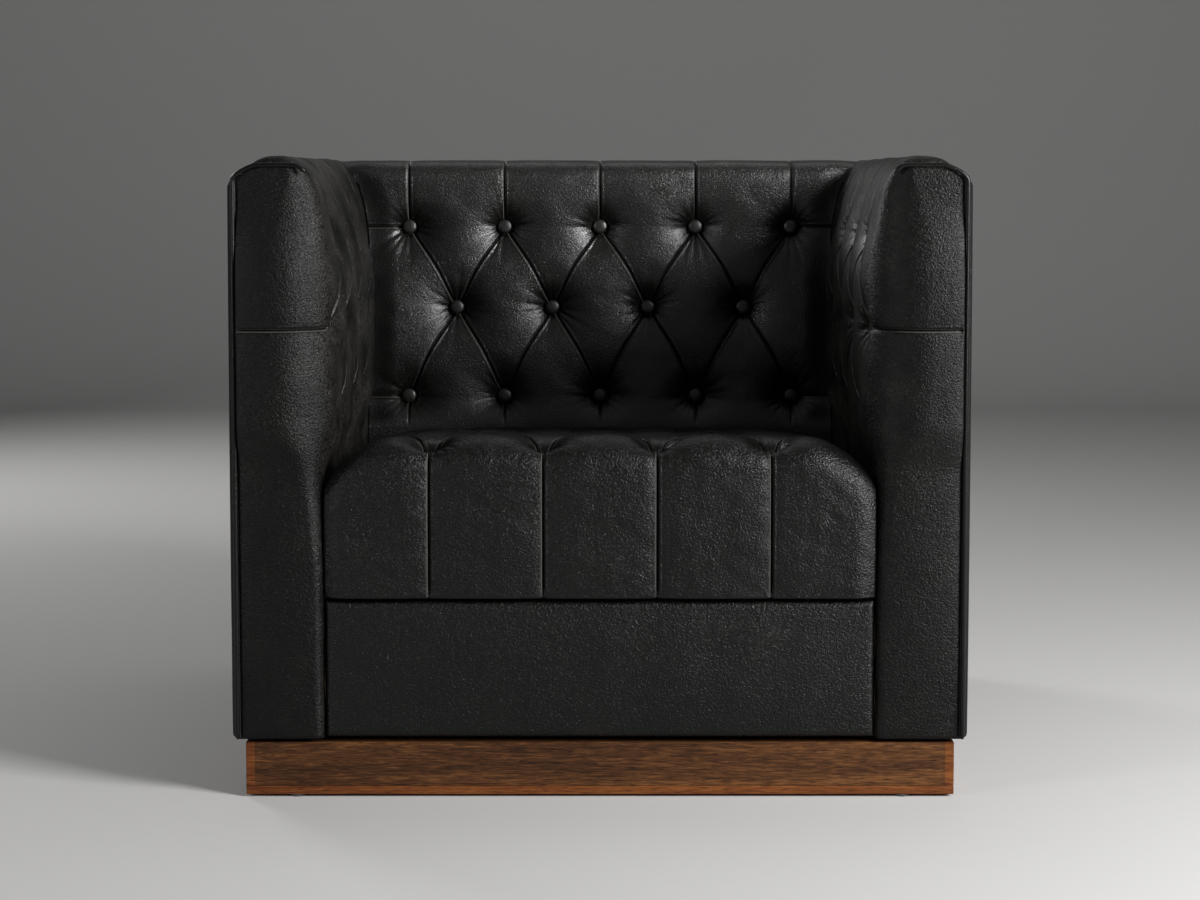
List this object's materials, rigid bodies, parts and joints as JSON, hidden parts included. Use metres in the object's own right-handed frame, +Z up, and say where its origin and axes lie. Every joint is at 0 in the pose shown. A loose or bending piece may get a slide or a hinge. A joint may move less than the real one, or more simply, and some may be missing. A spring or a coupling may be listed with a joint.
{
  "type": "swivel chair",
  "caption": "Tufted leather club chair with arms and back of one height, on a walnut plinth that it turns on by a hidden ball bearing.",
  "frame": {"origin": "on the floor, under the middle of the chair, on the axis that the seat turns about", "axes": "+Z up along the swivel axis, -Y towards the front, +X to the right of a viewer facing the front"},
  "size_m": [0.87, 0.7899, 0.75],
  "materials": {
    "black_leather": "black pebbled leather, soft sheen",
    "button_leather": "black leather, covered buttons",
    "piping_leather": "black leather piping",
    "walnut": "satin walnut veneer",
    "frame_wood": "bare hardwood",
    "plywood": "bare plywood",
    "glide_plastic": "black nylon",
    "zinc_steel": "zinc plated steel",
    "polished_steel": "polished bearing balls",
    "spring_steel": "oiled spring steel",
    "brass": "stamped brass cage",
    "foam": "cut upholstery foam",
    "felt": "needled felt over the springs",
    "black_cloth": "black dust cloth"
  },
  "bodies": {
    "base": {"plinth_front_board": "walnut", "plinth_rear_board": "walnut", "plinth_left_board": "walnut", "plinth_right_board": "walnut", "plinth_corner_blocks": "frame_wood", "plinth_cross_rails": "frame_wood", "floor_glides": "glide_plastic", "swivel_lower_plate": "zinc_steel", "swivel_lower_race": "zinc_steel", "lower_plate_screws": "zinc_steel", "king_pin": "zinc_steel", "king_pin_washer": "zinc_steel", "king_pin_nut": "zinc_steel"},
    "ball_cage": {"swivel_balls": "polished_steel", "swivel_ball_cage": "brass"},
    "chair": {"swivel_upper_race": "zinc_steel", "swivel_upper_plate": "zinc_steel", "upper_plate_screws": "zinc_steel", "dust_cover": "black_cloth", "deck_board": "plywood", "front_seat_rail": "frame_wood", "rear_seat_rail": "frame_wood", "left_seat_rail": "frame_wood", "right_seat_rail": "frame_wood", "seat_corner_blocks": "frame_wood", "left_arm_posts": "frame_wood", "right_arm_posts": "frame_wood", "left_arm_rail": "frame_wood", "right_arm_rail": "frame_wood", "back_posts": "frame_wood", "back_slats": "frame_wood", "back_top_board": "frame_wood", "seat_springs": "spring_steel", "spring_clips": "spring_steel", "spring_felt": "felt", "seat_foam": "foam", "back_foam": "foam", "left_arm_foam": "foam", "right_arm_foam": "foam", "seat_cover": "black_leather", "front_rail_cover": "black_leather", "inside_back_cover": "black_leather", "left_inside_arm_cover": "black_leather", "right_inside_arm_cover": "black_leather", "left_arm_front": "black_leather", "right_arm_front": "black_leather", "left_outside_panel": "black_leather", "right_outside_panel": "black_leather", "outside_back_panel": "black_leather", "back_buttons": "button_leather", "left_arm_buttons": "button_leather", "right_arm_buttons": "button_leather", "top_welt": "piping_leather", "left_front_welt": "piping_leather", "right_front_welt": "piping_leather", "rear_corner_welts": "piping_leather"}
  },
  "joints": [
    {"name": "swivel", "type": "hinge", "parent": "base", "child": "chair", "pos_m": [0, 0, 0.06], "axis": [0, 0, 1], "continuous": true},
    {"name": "ball_cage_turn", "type": "hinge", "parent": "base", "child": "ball_cage", "pos_m": [0, 0, 0.06], "axis": [0, 0, 1], "continuous": true}
  ],
  "couplings": [
    {"joint": "ball_cage_turn", "follows": "swivel", "ratio": 0.5}
  ]
}
